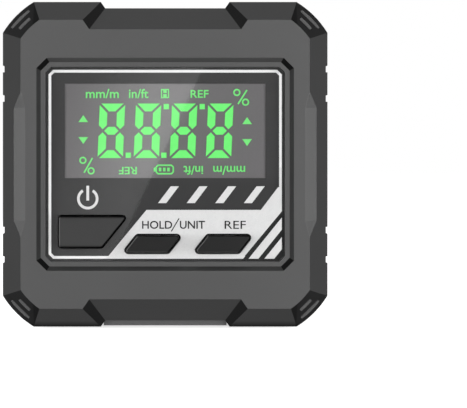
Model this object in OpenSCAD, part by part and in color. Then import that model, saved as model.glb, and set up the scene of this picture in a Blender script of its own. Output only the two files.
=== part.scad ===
// Digital angle gauge: a square inclinometer box with a lit display, three buttons and a magnetic base
// Millimetres. X runs to the right, Y from the display to the back, Z up from the base.

/* [Body] */
// Width over the corner guards
body_w = 64; // [60:1:72]
// Height over the corner guards
body_h = 64; // [62:1:72]
// Depth from the bezel to the back
body_d = 30; // [29:0.5:36]
// Wall thickness of both housing halves
wall = 2.2; // [1.8:0.1:2.4]
// How far the guards stand out beyond the middle of the top and bottom
guard_step = 1.24; // [0.8:0.02:1.5]
// Radius of the rounded corner guards
corner_r = 18.2; // [17.6:0.1:19]
// Distance from the sides to the centre of the corner radius
corner_c = 15.55; // [15:0.05:16]

/* [Chamfers] */
// Width of the front chamfer on the guards and sides
chamfer_w = 3.85; // [3:0.05:4.2]
// Depth of the front chamfer
chamfer_d = 4.5; // [3.5:0.1:5.5]
// Distance from the top of the guards to the front edge of the middle section
mid_inset = 5.7; // [5:0.1:6.2]
// Width of the rear chamfer
rear_chamfer_w = 2; // [1:0.1:2.5]
// Depth of the rear chamfer
rear_chamfer_d = 2.5; // [1.5:0.1:3]
// Half width of the middle section where it meets the outline
notch_w = 11.83; // [11.6:0.01:13]
// Half width of the middle section on the front face
notch_front_w = 14.81; // [14:0.01:16]

/* [Sides] */
// Half height of the thumb scoop at full depth
scoop_h = 11; // [8:0.1:12]
// Length of the tapered end of the thumb scoop
scoop_taper = 3.2; // [1.5:0.05:3.5]
// Width of each side groove
groove_w = 1.35; // [0.8:0.05:1.8]
// Depth of each side groove
groove_depth = 0.36; // [0.2:0.02:0.6]

/* [Panel] */
// Width of the lens panel
panel_w = 46.5; // [46:0.1:48]
// Height of the lens panel
panel_h = 37.8; // [37.6:0.1:39.4]
// Thickness of the lens panel
lens_t = 1; // [0.8:0.1:1.4]
// Depth of the bezel step down to the ledge
bezel_step = 0.8; // [0.5:0.1:1]
// Width of the display window
window_w = 39.3; // [36:0.1:40]
// Height of the display window
window_h = 18.5; // [17:0.1:19]
// Height of the window centre above the middle of the body
window_rise = 6.55; // [6.3:0.05:6.6]
// Height of a digit
digit_h = 10.68; // [8:0.1:11.5]
// Width of a digit
digit_w = 4.97; // [4:0.05:5.2]

/* [Buttons] */
// How far the buttons stand out of the lens
button_rise = 0.6; // [0.4:0.05:0.8]
// Travel of a button
button_travel = 0.4; // [0.2:0.05:0.5]
// Side clearance of a button in its hole
button_gap = 0.25; // [0.15:0.05:0.3]

/* [Power and base] */
// Diameter of a cell
cell_d = 10.5; // [9.5:0.1:10.5]
// Length of a cell
cell_l = 44.5; // [42:0.5:44.5]
// Diameter of the base magnets
base_magnet_d = 6; // [4:0.5:7]
// Diameter of the back magnets
back_magnet_d = 8; // [6:0.5:8]
// Thickness of the back magnets
back_magnet_t = 3; // [2:0.25:3]

/* [Hidden] */
$fn = 64;
front = -body_d / 2;
back = body_d / 2;
half_w = body_w / 2;
half_h = body_h / 2;
mid_z = body_h / 2;
edge_y = front + chamfer_d;
rear_y = back - rear_chamfer_d;
part_y = back - 14;
corner_front_r = corner_r - chamfer_w - 0.15;
notch_lean = 0.69;

// Depths of the layers behind the bezel
ledge_y = front + bezel_step;
lens_y = ledge_y + 0.1;
film_y = lens_y + lens_t;
film_t = 0.1;
seat_y = film_y + film_t;
skin_t = 1;
skin_y = seat_y + skin_t;
lcd_y = seat_y + 0.1;
lcd_t = 1.8;
light_y = lcd_y + lcd_t;
light_t = 2.2;
board_y = skin_y + 5;
board_t = 1.6;
board_back = board_y + board_t;

// Bezel, display and button layout
bezel_gap = 1.05;
bezel_slope = 0.8;
bezel_out = bezel_gap + 2 * bezel_slope;
pocket_gap = 0.12;
panel_cut = 1.1;
border_inset = 0.41;
border_t = 0.535;
stripe_w = 1.93;
stripe_rise = 1.24;
window_z = mid_z + window_rise;
lcd_hw = window_w / 2 + 1.55;
lcd_hh = window_h / 2 + 1.85;
strip_end = 3;
strip_rise = 1.15;
strip_t = 1.5;
frame_hw = lcd_hw + 0.5;
frame_hh = lcd_hh + 0.7;
digit_t = 1.55;
digit_gap = 0.3;
digit_pitch = 7.07;
digit_lean = 0.042;
digit_x = -13.25;
digit_z = mid_z + 1.22;
power_shape = [[-20.62, -16.64], [-12.23, -16.64], [-6.65, -9.77], [-20.62, -9.77], [-21.12, -10.27],
    [-21.12, -16.14]];
hold_shape = [[-8.89, -17.6], [0.74, -17.6], [3.93, -13.58], [-5.64, -13.58]];
ref_shape = [for (p = hold_shape) p + [13.8, 0]];
button_r = 0.8;
button_inset = button_gap + 0.12;
flange_out = 0.7;
power_key = [-15.6, -13];
hold_key = [-2.45, -15.6];
ref_key = [11.35, -15.6];
button_y = lens_y - button_rise;
flange_y = skin_y + 0.1;
flange_t = 0.7;
key_h = 3.5;
key_y = board_y - key_h;
plunger_y = flange_y + flange_t;
plunger_l = 2;
plunger_r = 1.7;

// Board and screws
board_hw = panel_w / 2 + 2.8;
board_hh = half_h - 11.4;
board_post = [panel_w / 2 + 0.45, board_hh - 5.6, 3.6];
board_screw_r = 0.9;
board_screw_head_r = 1.7;
screw_x = half_w - 8;
screw_z = half_h - 8;

// Battery well and door
door_t = 1.6;
cell_r = cell_d / 2;
cell_y = back - door_t - 0.7 - cell_r;
cell_gap = cell_r + 0.35;
well_hw = cell_l / 2 + 2.35;
well_hh = cell_gap + cell_r + 0.75;
well_floor = cell_y - cell_r - 0.3;
contact_t = 0.4;
contact_x = well_hw - contact_t;
hinge_y = back - door_t / 2;
hinge_z = mid_z - well_hh + 1;
tab_x = 14;

// Base plate and magnets
plate_hw = 12.2;
plate_y0 = front + 7.5;
plate_y1 = back - 4.5;
plate_lip = 1.2;
plate_step = 1.9;
plate_t = 3.2;
magnet_x = 6.5;
magnet_y = 5;
plate_mid = (plate_y0 + plate_y1) / 2;
back_magnet_x = 13;
magnet_rib = 1.7;
back_magnet_z = well_hh + magnet_rib + back_magnet_d / 2;

// The two ends of a span of half length h around c
function around_at(c, h) = [c - h, c + h];

// Unit normal to the left of a direction
function left_of(v) = [-v.y, v.x] / norm(v);

// A counter-clockwise outline moved inward by d
function shifted(p, d) = [for (i = [0:len(p) - 1])
    let (n = len(p), b = p[i])
    let (m = left_of(b - p[(i + n - 1) % n]), k = left_of(p[(i + 1) % n] - b))
    b + d * (m + k) / (1 + m * k)];

// A counter-clockwise outline with rounded corners of radius r
function rounded(p, r) = [for (i = [0:len(p) - 1])
    let (n = len(p), b = p[i])
    let (m = left_of(b - p[(i + n - 1) % n]), k = left_of(p[(i + 1) % n] - b))
    let (c = b + r * (m + k) / (1 + m * k), a = atan2(-m.y, -m.x), turn = acos(m * k))
    for (s = [0:4]) c + r * [cos(a + turn * s / 4), sin(a + turn * s / 4)]];

// A rectangle with cut corners, around the middle
function octagon(hw, hh, c) = [[c - hw, -hh], [hw - c, -hh], [hw, c - hh], [hw, hh - c],
    [hw - c, hh], [c - hw, hh], [-hw, hh - c], [-hw, c - hh]];

// Chamfered section of the body, across or upright, in depth
function section(out, fore, rear) = [[-fore, front], [fore, front], [out, edge_y], [out, rear_y],
    [rear, back], [-rear, back], [-out, rear_y], [-out, edge_y]];

// An outline placed at one depth
function at(p, y) = [for (q = p) [q.x, y, q.y]];

across = section(half_w, half_w - chamfer_w, half_w - rear_chamfer_w);
upright = section(half_h, half_h - chamfer_w, half_h - rear_chamfer_w);
middle = section(half_h - guard_step, half_h - mid_inset, half_h - guard_step - rear_chamfer_w);
around = section(corner_r, corner_front_r, corner_r - rear_chamfer_w);
panel_outline = octagon(panel_w / 2, panel_h / 2, panel_cut);

// Solid between two outlines with the same number of points
module loft(a, b) {
    n = len(a);
    polyhedron(
        points = concat(a, b),
        faces = concat(
            [[for (i = [n - 1:-1:0]) i]],
            [[for (i = [0:n - 1]) n + i]],
            [for (i = [0:n - 1]) [i, (i + 1) % n, n + (i + 1) % n, n + i]]
        )
    );
}

// Flat shape in the plane of the panel, with its depth and thickness
module plate(y, t) {
    translate([0, y + t, mid_z])
        rotate([90, 0, 0])
            linear_extrude(t)
                children();
}

// Round bar along the depth
module bar_y(x, z, y0, y1, r) {
    translate([x, y0, mid_z + z])
        rotate([-90, 0, 0])
            cylinder(r = r, h = y1 - y0);
}

// Round bar along the width
module bar_x(x0, x1, y, z, r) {
    translate([x0, y, z])
        rotate([0, 90, 0])
            cylinder(r = r, h = x1 - x0);
}

// Box given by its two ends on each axis, with heights from the middle of the body
module box(x, y, z) {
    translate([x[0], y[0], mid_z + z[0]])
        cube([x[1] - x[0], y[1] - y[0], z[1] - z[0]]);
}

// Copies in the four corners of a rectangle
module corners(x, z) {
    for (sx = [-1, 1]) {
        for (sz = [-1, 1]) {
            translate([sx * x, 0, sz * z])
                children();
        }
    }
}

// Everything outside the rounded corners, moved inward by i
module corner_cut(i) {
    s = shifted(around, i);
    for (turn = [0, 180]) {
        for (sx = [-1, 1]) {
            translate([0, 0, mid_z])
                rotate([0, turn, 0])
                    translate([sx * (half_w - corner_c), 0, half_h - corner_c])
                        difference() {
                            translate([min(0, sx * (corner_c + 1)), front - 1, 0])
                                cube([corner_c + 1, body_d + 2, corner_c + 1]);
                            rotate([-90, 0, 0])
                                rotate_extrude()
                                    polygon([[0, s[1].y], s[1], s[2], s[3], s[4], [0, s[4].y]]);
                        }
        }
    }
}

// Body block with chamfers and rounded corners, moved inward by i
module form(sides, i) {
    difference() {
        intersection() {
            linear_extrude(body_h + 1)
                polygon(shifted(across, i));
            translate([0, 0, mid_z])
                rotate([0, -90, 0])
                    linear_extrude(body_w + 2, center = true)
                        polygon(shifted(sides, i));
        }
        corner_cut(i);
    }
}

// Everything left of a leaning guard end, which flares towards the front and the back
module guard_side() {
    rim_z = half_h - guard_step;
    tilt = atan(notch_lean);
    flare = notch_front_w - notch_w + notch_lean * (mid_inset - guard_step);
    fore_x = (notch_w + flare * (1 + 1 / chamfer_d)) * cos(tilt);
    rear_x = (notch_w + 2 * rear_chamfer_w) * cos(tilt);
    rim_x = notch_w * cos(tilt);
    translate([0, 0, rim_z])
        rotate([0, tilt, 0])
            linear_extrude(40, center = true)
                polygon([[-50, front - 1], [fore_x, front - 1], [rim_x, edge_y], [rim_x, rear_y],
                    [rear_x, back + 1], [-50, back + 1]]);
}

// Recess between the guards, at the top and turned over at the bottom
module middle_cut() {
    for (turn = [0, 180]) {
        translate([0, 0, mid_z])
            rotate([0, turn, 0])
                difference() {
                    intersection() {
                        guard_side();
                        mirror([1, 0, 0])
                            guard_side();
                        translate([-half_w, front - 1, half_h - 12])
                            cube([body_w, body_d + 2, 20]);
                    }
                    rotate([0, -90, 0])
                        linear_extrude(body_w + 2, center = true)
                            polygon(middle);
                }
    }
}

// Thumb scoops in the front edge of both sides
module scoops() {
    inner = half_w - chamfer_w - 0.86;
    outer = half_w - chamfer_w + 1.49;
    run = outer - inner;
    drop = (outer - half_w + chamfer_w) * chamfer_d / chamfer_w;
    x0 = inner - 0.4 * run;
    x1 = outer + 1.4 * run;
    y0 = front - 0.4 * drop;
    y1 = front + 2.4 * drop;
    h = scoop_h;
    k = scoop_h + 3 * scoop_taper;
    for (turn = [0, 180]) {
        translate([0, 0, mid_z])
            rotate([0, turn, 0])
                loft(
                    [[x0, y0, -h], [x0, y0, h], [x1, y1, h], [x1, y1, -h]],
                    [[x0 + 2.58, y0, -k], [x0 + 2.58, y0, k], [x1 + 2.58, y1, k], [x1 + 2.58, y1, -k]]
                );
    }
}

// Grooves along the depth of both sides
module side_grooves() {
    for (z = [-18.8, -13, 13, 18.8]) {
        for (sx = [-1, 1]) {
            translate([sx * half_w, 0, mid_z + z])
                cube([2 * groove_depth, body_d + 2, groove_w], center = true);
        }
    }
}

// Two steps across each rounded corner
module corner_steps() {
    for (turn = [0, 180]) {
        for (sx = [-1, 1]) {
            for (step = [[16.75, 0.7, 4.87], [15.35, 0.35, 2.95]]) {
                translate([0, front, mid_z])
                    rotate([0, turn, 0])
                        translate([sx * (half_w - corner_c), 0, half_h - corner_c])
                            rotate([0, sx * 45, 0])
                                translate([-step[2] / 2, -1, step[0]])
                                    cube([step[2], 1 + step[1] * chamfer_d + 0.45, 0.65]);
            }
        }
    }
}

// Outside of the whole body
module outside() {
    difference() {
        form(upright, 0);
        middle_cut();
        scoops();
        side_grooves();
        corner_steps();
    }
}

// Space inside the walls between two depths, with a solid seat left over the base plate
module hollow(y0, y1, i) {
    difference() {
        intersection() {
            form(middle, i);
            box([-half_w, half_w], [y0, y1], [-half_h, half_h]);
        }
        translate([-plate_hw - 3.2, front, 0])
            cube([2 * plate_hw + 6.4, body_d, 5.4]);
    }
}

// Pocket that holds the base plate by its lip
module plate_pocket() {
    g = 0.1;
    translate([-plate_hw - g, plate_y0 - g, -1])
        cube([2 * (plate_hw + g), plate_y1 - plate_y0 + 2 * g, 3]);
    translate([-plate_hw - plate_lip - g, plate_y0 - plate_lip - g, plate_step])
        cube([2 * (plate_hw + plate_lip + g), plate_y1 - plate_y0 + 2 * (plate_lip + g),
            plate_t - plate_step + 0.05]);
}

// All button holes, g wider than the buttons
module button_holes(g) {
    for (shape = [power_shape, hold_shape, ref_shape]) {
        polygon(rounded(shifted(shape, button_inset - g), button_r - button_inset + g));
    }
}

// Places of the four board posts
module board_posts() {
    for (sx = [-1, 1]) {
        translate([sx * board_post[0], 0, board_post[1]])
            children();
        translate([sx * board_post[0], 0, board_post[2] - board_hh])
            children();
    }
}

module front_housing() {
    color([0.12, 0.12, 0.125])
        difference() {
            union() {
                difference() {
                    intersection() {
                        outside();
                        box([-half_w, half_w], [front - 1, part_y], [-half_h, half_h]);
                    }
                    hollow(skin_y, part_y + 1, wall);
                }
                corners(screw_x, screw_z)
                    bar_y(0, 0, skin_y - 0.5, part_y, 2.8);
                board_posts()
                    bar_y(0, 0, skin_y - 0.5, board_y, 1.9);
            }
            translate([0, 0, mid_z])
                loft(
                    at(octagon(panel_w / 2 + bezel_out, panel_h / 2 + bezel_out, 2.3), ledge_y - 2 * bezel_step),
                    at(octagon(panel_w / 2 + bezel_gap, panel_h / 2 + bezel_gap, 1.7), ledge_y)
                );
            plate(front, seat_y - front)
                polygon(octagon(panel_w / 2 + pocket_gap, panel_h / 2 + pocket_gap, panel_cut));
            plate(front, skin_y - front + 1)
                button_holes(button_gap);
            box([-lcd_hw - 0.1, lcd_hw + 0.1], [front, skin_y + 1], around_at(window_rise, lcd_hh + 0.1));
            corners(screw_x, screw_z)
                bar_y(0, 0, skin_y + 3, part_y + 1, 1.15);
            board_posts()
                bar_y(0, 0, skin_y + 0.5, board_y + 1, 0.95);
            plate_pocket();
        }
}

module rear_housing() {
    color([0.11, 0.11, 0.115])
        difference() {
            union() {
                difference() {
                    intersection() {
                        outside();
                        box([-half_w, half_w], [part_y, back + 1], [-half_h, half_h]);
                    }
                    hollow(part_y - 1, back - wall, wall);
                }
                difference() {
                    hollow(part_y - 1.5, part_y + 1, wall + 0.1);
                    hollow(part_y - 2, part_y + 2, wall + 1.1);
                    translate([-plate_hw - 3.4, front, 0])
                        cube([2 * plate_hw + 6.8, body_d, 5.6]);
                }
                box(around_at(0, well_hw + 1.2), [well_floor - 1, back - 1], [-well_hh - 2, well_hh + 1.2]);
                corners(screw_x, screw_z)
                    bar_y(0, 0, part_y, back - 1, 3.6);
                corners(back_magnet_x, back_magnet_z)
                    bar_y(0, 0, back - back_magnet_t - 1, back - 1, back_magnet_d / 2 + 1);
            }
            box([-well_hw, well_hw], [well_floor, back - door_t - 0.1], [-well_hh, well_hh]);
            box([-well_hw, well_hw], [back - door_t - 0.2, back + 1], [1 - well_hh, well_hh]);
            bar_x(-well_hw, well_hw, hinge_y, hinge_z, door_t / 2 + 0.1);
            for (sx = [-1, 1]) {
                translate([sx * tab_x, 0, 0])
                    box([-2.8, 2.8], [back - 3.9, back - door_t], [-well_hh - 1.3, 2 - well_hh]);
            }
            for (z = [-cell_gap, cell_gap]) {
                box([contact_x - 0.1, well_hw], [well_floor - 2, well_floor + 1], around_at(z, 1.2));
            }
            corners(screw_x, screw_z) {
                bar_y(0, 0, part_y - 1, back, 1.25);
                bar_y(0, 0, back - 2.8, back + 1, 2.5);
            }
            corners(back_magnet_x, back_magnet_z)
                bar_y(0, 0, back - back_magnet_t, back + 1, back_magnet_d / 2 + 0.03);
            plate_pocket();
        }
}

module lens_panel() {
    color([0.85, 0.88, 0.9, 0.25])
        plate(lens_y, lens_t)
            difference() {
                polygon(panel_outline);
                button_holes(button_gap);
            }
}

// White fields of the print
module print_shapes() {
    hw = panel_w / 2 - border_inset;
    hh = panel_h / 2 - border_inset;
    difference() {
        polygon(octagon(hw, hh, 0.9));
        polygon(octagon(hw - border_t, hh - border_t, 0.6));
        polygon([[15.08, -18.7], [30, -18.7], [30, -0.43]]);
    }
    intersection() {
        polygon(octagon(hw, hh, 0.9));
        difference() {
            polygon([[-11.55, -hh], [15.12, -hh], [22.88, -9.15], [22.88, -4.49], [22.09, -4.49],
                [18.74, -8.93], [-3.66, -8.93]]);
            button_holes(button_inset);
        }
    }
    for (x = [16.32, 19.42]) {
        polygon([[x, -hh], [x + stripe_w, -hh], [hw, stripe_rise * (hw - x - stripe_w) - hh],
            [hw, stripe_rise * (hw - x) - hh]]);
    }
    for (x = [-1.4, 4.2, 9.8, 15.4]) {
        polygon([[x, -7.6], [x + 1.6, -7.6], [x + 4.1, -4.3], [x + 2.5, -4.3]]);
    }
    translate([-15.16, -6.74]) {
        difference() {
            circle(2.1);
            circle(1.57);
            polygon([[0, 0], [1.6, 2.6], [-1.6, 2.6]]);
        }
        translate([-0.27, -0.36])
            square([0.54, 2.9]);
    }
}

// Opening of the film over the display
module window_shape() {
    translate([-window_w / 2, window_rise - window_h / 2])
        square([window_w, window_h]);
}

module panel_film() {
    color([0.06, 0.06, 0.065])
        plate(film_y, film_t)
            difference() {
                polygon(panel_outline);
                window_shape();
                button_holes(button_gap);
                print_shapes();
            }
}

module panel_print() {
    color([0.88, 0.88, 0.88])
        plate(film_y, film_t)
            print_shapes();
}

module lcd_glass() {
    color([0.3, 0.32, 0.31])
        box([-lcd_hw, lcd_hw], [lcd_y, lcd_y + lcd_t], around_at(window_rise, lcd_hh));
}

// The seven segments of a leaning digit
module digit() {
    w = digit_w;
    h = digit_h;
    t = digit_t;
    s = digit_gap;
    m = h / 2;
    k = t / 2;
    for (p = [
        [[s, h], [s + t, h - t], [w - s - t, h - t], [w - s, h]],
        [[s, 0], [w - s, 0], [w - s - t, t], [s + t, t]],
        [[0, s], [t, s + t], [t, m - k - s], [k, m - s], [0, m - k - s]],
        [[0, m + k + s], [k, m + s], [t, m + k + s], [t, h - t - s], [0, h - s]],
        [[w, s], [w, m - k - s], [w - k, m - s], [w - t, m - k - s], [w - t, s + t]],
        [[w, m + k + s], [w, h - s], [w - t, h - t - s], [w - t, m + k + s], [w - k, m + s]],
        [[k + s, m], [t + s, m - k], [w - t - s, m - k], [w - k - s, m], [w - t - s, m + k], [t + s, m + k]]
    ]) {
        polygon([for (q = p) [q.x + digit_lean * q.y, q.y]]);
    }
}

module lcd_segments() {
    top = digit_h - 0.6;
    color([0.45, 1, 0.45])
        plate(lcd_y - film_t, film_t) {
            for (i = [0:3]) {
                translate([digit_x + i * digit_pitch, digit_z - mid_z])
                    digit();
            }
            for (dot = [[-7.23, 0.55], [-0.26, 0.55], [0.22, top], [7.25, top]]) {
                translate([dot.x - 0.52, digit_z - mid_z + dot.y - 0.52])
                    square(1.04);
            }
            for (sx = [-1, 1]) {
                for (sz = [-1, 1]) {
                    translate([sx * 16.04, window_rise + 0.05 - sx * 0.2])
                        polygon([[-0.95, sz * 1.47], [0.95, sz * 1.47], [0, sz * 2.83]]);
                }
            }
        }
}

module backlight() {
    color([0.8, 0.85, 0.8])
        box(around_at(0, lcd_hw - 0.7), [light_y, light_y + light_t],
            [window_rise + 2.15 - lcd_hh, window_rise + lcd_hh - 0.4]);
}

module lcd_frame() {
    color([0.75, 0.75, 0.73])
        difference() {
            box([-frame_hw, frame_hw], [skin_y + 0.1, board_y], around_at(window_rise, frame_hh));
            box([-lcd_hw - 0.1, lcd_hw + 0.1], [skin_y, light_y], around_at(window_rise, lcd_hh + 0.1));
            box(around_at(0, lcd_hw - 0.5), [skin_y, light_y + light_t], around_at(window_rise, lcd_hh - 0.3));
            box(around_at(0, lcd_hw - 2.5), [skin_y, board_y + 1],
                [window_rise + 0.3 - lcd_hh, window_rise + lcd_hh - 1.5]);
        }
}

module contact_strip() {
    color([0.75, 0.45, 0.5])
        box([strip_end - lcd_hw, lcd_hw - strip_end], [light_y, board_y],
            around_at(window_rise - lcd_hh + strip_rise, strip_t / 2));
}

module circuit_board() {
    color([0.05, 0.3, 0.14])
        difference() {
            box([-board_hw, board_hw], [board_y, board_back], [-board_hh, board_hh]);
            board_posts()
                bar_y(0, 0, board_y - 1, board_back + 1, 1.1);
        }
}

module controller_chip() {
    color([0.05, 0.05, 0.05])
        box([3, 13], [board_back, board_back + 1.4], [0, 10]);
}

module tilt_sensor() {
    color([0.08, 0.08, 0.08])
        box([-10.5, -5.5], [board_back, board_back + 1.2], [-2.5, 2.5]);
}

// A button: cap with rounded corners and a retaining flange
module button(shape) {
    plate(button_y, flange_y - button_y)
        polygon(rounded(shifted(shape, button_inset), button_r - button_inset));
    plate(flange_y, flange_t)
        polygon(rounded(shifted(shape, button_inset - flange_out), button_r - button_inset + flange_out));
}

module power_button() {
    color([0.075, 0.075, 0.08])
        button(power_shape);
}

module hold_button() {
    color([0.04, 0.04, 0.042])
        button(hold_shape);
}

module ref_button() {
    color([0.04, 0.04, 0.042])
        button(ref_shape);
}

// Key switch body with the bore for its plunger
module key_switch(p) {
    difference() {
        box(around_at(p.x, 3), [key_y, board_y], around_at(p.y, 3));
        bar_y(p.x, p.y, key_y - 1, plunger_y + plunger_l + button_travel + 0.2, plunger_r + 0.08);
    }
}

module key_plunger(p) {
    bar_y(p.x, p.y, plunger_y, plunger_y + plunger_l, plunger_r);
}

module power_switch() {
    color([0.2, 0.2, 0.2])
        key_switch(power_key);
}

module hold_switch() {
    color([0.2, 0.2, 0.2])
        key_switch(hold_key);
}

module ref_switch() {
    color([0.2, 0.2, 0.2])
        key_switch(ref_key);
}

module power_plunger() {
    color([0.5, 0.1, 0.1])
        key_plunger(power_key);
}

module hold_plunger() {
    color([0.5, 0.1, 0.1])
        key_plunger(hold_key);
}

module ref_plunger() {
    color([0.5, 0.1, 0.1])
        key_plunger(ref_key);
}

// Cell with its positive nub to the right
module cell() {
    bar_x(-cell_l / 2, cell_l / 2 - 1, 0, 0, cell_r);
    bar_x(cell_l / 2 - 1.5, cell_l / 2, 0, 0, 1.9);
}

module upper_cell() {
    color([0.25, 0.3, 0.35])
        translate([0, cell_y, mid_z + cell_gap])
            cell();
}

module lower_cell() {
    color([0.25, 0.3, 0.35])
        translate([0, cell_y, mid_z - cell_gap])
            rotate([0, 180, 0])
                cell();
}

// Bent leaf that presses on the end of a cell, on the right
module leaf(z) {
    x1 = contact_x;
    x0 = cell_l / 2 + 0.02;
    t = contact_t;
    translate([0, 0, mid_z + z - 2.5])
        linear_extrude(5)
            polygon([[x1, cell_y + 3], [x1, cell_y + 2.2], [x0 + t, cell_y + 0.4], [x0 + t, cell_y - 0.4],
                [x1, cell_y - 2.2], [x1, cell_y - 3], [x0, cell_y - 0.6], [x0, cell_y + 0.6]]);
}

// Contact plate with a leaf and a tail to the board
module contact(z) {
    box([contact_x, well_hw], [well_floor + 0.1, cell_y + 4], around_at(z, 4));
    box([contact_x, well_hw], [board_back, well_floor + 0.2], around_at(z, 1));
    leaf(z);
}

module bridge_contact() {
    color([0.7, 0.7, 0.68])
        translate([0, 0, 2 * mid_z])
            rotate([0, 180, 0]) {
                box([contact_x, well_hw], [cell_y - 4, cell_y + 4], [-cell_gap - 4, cell_gap + 4]);
                leaf(cell_gap);
                leaf(-cell_gap);
            }
}

module positive_contact() {
    color([0.7, 0.7, 0.68])
        contact(cell_gap);
}

module negative_contact() {
    color([0.7, 0.7, 0.68])
        contact(-cell_gap);
}

module battery_door() {
    hw = well_hw - 0.15;
    tab_reach = [-2.5, 2.5];
    color([0.11, 0.11, 0.115])
        difference() {
            union() {
                box([-hw, hw], [back - door_t, back], [1 - well_hh, well_hh - 0.15]);
                bar_x(-hw, hw, hinge_y, hinge_z, door_t / 2);
                for (sx = [-1, 1]) {
                    translate([sx * tab_x, 0, 0]) {
                        box(tab_reach, [back - door_t - 1.1, back - door_t - 0.1], [-well_hh - 1, 2.2 - well_hh]);
                        box(tab_reach, [back - door_t - 1.1, back - door_t + 0.1], [1 - well_hh, 2.2 - well_hh]);
                    }
                }
                box([-4, 4], [back - door_t - 1.6, back - door_t + 0.1], [well_hh - 1.6, well_hh - 0.5]);
            }
            for (z = [3, 4.6, 6.2]) {
                box([-6, 6], [back - 0.5, back + 1], around_at(well_hh - z, 0.35));
            }
        }
}

module base_plate() {
    color([0.62, 0.62, 0.64])
        difference() {
            union() {
                translate([-plate_hw, plate_y0, 0])
                    cube([2 * plate_hw, plate_y1 - plate_y0, plate_t]);
                translate([-plate_hw - plate_lip, plate_y0 - plate_lip, plate_step])
                    cube([2 * (plate_hw + plate_lip), plate_y1 - plate_y0 + 2 * plate_lip,
                        plate_t - plate_step]);
            }
            base_magnet_places()
                cylinder(d = base_magnet_d + 0.06, h = 3 * plate_t, center = true);
        }
}

// Places of the four magnets in the base plate
module base_magnet_places() {
    for (sx = [-1, 1]) {
        for (sy = [-1, 1]) {
            translate([sx * magnet_x, plate_mid + sy * magnet_y, 0])
                children();
        }
    }
}

module base_magnets() {
    color([0.7, 0.7, 0.72])
        base_magnet_places()
            cylinder(d = base_magnet_d, h = plate_t);
}

module back_magnets() {
    color([0.7, 0.7, 0.72])
        corners(back_magnet_x, back_magnet_z)
            bar_y(0, 0, back - back_magnet_t, back, back_magnet_d / 2);
}

module housing_screws() {
    color([0.3, 0.3, 0.32])
        corners(screw_x, screw_z)
            difference() {
                union() {
                    bar_y(0, 0, back - 2.8, back - 1.4, 2.2);
                    bar_y(0, 0, skin_y + 4, back - 2.5, 1.1);
                }
                box([-1.3, 1.3], [back - 2, back], [-0.25, 0.25]);
                box([-0.25, 0.25], [back - 2, back], [-1.3, 1.3]);
            }
}

module board_screws() {
    color([0.6, 0.6, 0.6])
        board_posts() {
            bar_y(0, 0, board_back, board_back + 0.9, board_screw_head_r);
            bar_y(0, 0, skin_y + 1, board_back + 0.2, board_screw_r);
        }
}

front_housing();
rear_housing();
lens_panel();
panel_film();
panel_print();
lcd_glass();
lcd_segments();
backlight();
lcd_frame();
contact_strip();
circuit_board();
controller_chip();
tilt_sensor();
power_button();
hold_button();
ref_button();
power_switch();
hold_switch();
ref_switch();
power_plunger();
hold_plunger();
ref_plunger();
upper_cell();
lower_cell();
bridge_contact();
positive_contact();
negative_contact();
battery_door();
base_plate();
base_magnets();
back_magnets();
housing_screws();
board_screws();
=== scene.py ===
"""Digital angle gauge: finishes, panel lettering, display words and a small studio."""

import math

import bmesh
import bpy
from bpy.props import FloatProperty, FloatVectorProperty, PointerProperty
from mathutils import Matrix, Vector


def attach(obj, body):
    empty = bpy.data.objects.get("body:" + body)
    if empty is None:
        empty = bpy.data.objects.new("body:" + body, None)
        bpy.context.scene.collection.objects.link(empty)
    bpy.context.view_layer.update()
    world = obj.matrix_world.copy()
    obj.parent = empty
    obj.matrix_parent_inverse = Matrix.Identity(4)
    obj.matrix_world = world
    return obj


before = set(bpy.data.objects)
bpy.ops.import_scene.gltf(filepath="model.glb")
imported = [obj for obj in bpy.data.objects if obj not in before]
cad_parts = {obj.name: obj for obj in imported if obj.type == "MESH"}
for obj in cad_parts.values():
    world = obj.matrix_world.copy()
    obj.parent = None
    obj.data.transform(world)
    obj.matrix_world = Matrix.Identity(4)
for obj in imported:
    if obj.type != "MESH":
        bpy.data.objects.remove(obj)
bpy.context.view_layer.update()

bl_info = {
    "name": "Digital Angle Gauge",
    "version": (1, 0, 0),
    "blender": (4, 5, 0),
    "location": "3D View > Sidebar > Gauge",
    "description": "Finishes, lettering and studio for a square digital angle gauge",
    "category": "Object",
}

MM = 0.001

# Places on the front, in millimetres
INK_DEPTH = (-13.135, -13.1)
DISPLAY_DEPTH = (-13.0, -12.9)
FRONT_MIDDLE = 32.0
BORDER_INNER = (22.305, 17.955)
FIELD_FOOT = (-11.55, 13.7)
FIELD_RISE = 0.52
POWER_TOP = 22.23
POWER_FOOT = (-12.23, 15.36)
POWER_SLANT = (0.776, 0.6305)

# Bands across which a painted shade, painted light or a tone comes in, in metres
FRONT_DEPTH = (-0.0105, -0.007)
INNER_WIDTH = (0.0256, 0.0262)
BEZEL_HEIGHT = (0.0215, 0.022)
BEZEL_TOP_START = (0.0512, 0.0516)
BEZEL_TOP_END = (0.0536, 0.0540)
CORNER_WIDTH = (0.020, 0.021)
CORNER_HEIGHT = (0.0225, 0.0235)
FOOT_HEIGHT = (0.0, 0.0014)
RIM_FADE = (0.0003, 0.0010)
SLANT_FADE = (0.0002, 0.0007)
FIELD_EDGE = (0.0205, 0.0229)
BESIDE_DIGITS = (0.0138, 0.0142)

# Strengths of the painted shades and painted highlights
WALL_SHADE = 0.5
BEZEL_SHADE = 0.13
SLANT_SHADE = 0.17
FOOT_SHADE = 0.75
FACET_SHADE = 0.25
RIM_SHADE = 0.85
LOWER_RIM_HIGHLIGHT = 0.45
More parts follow.
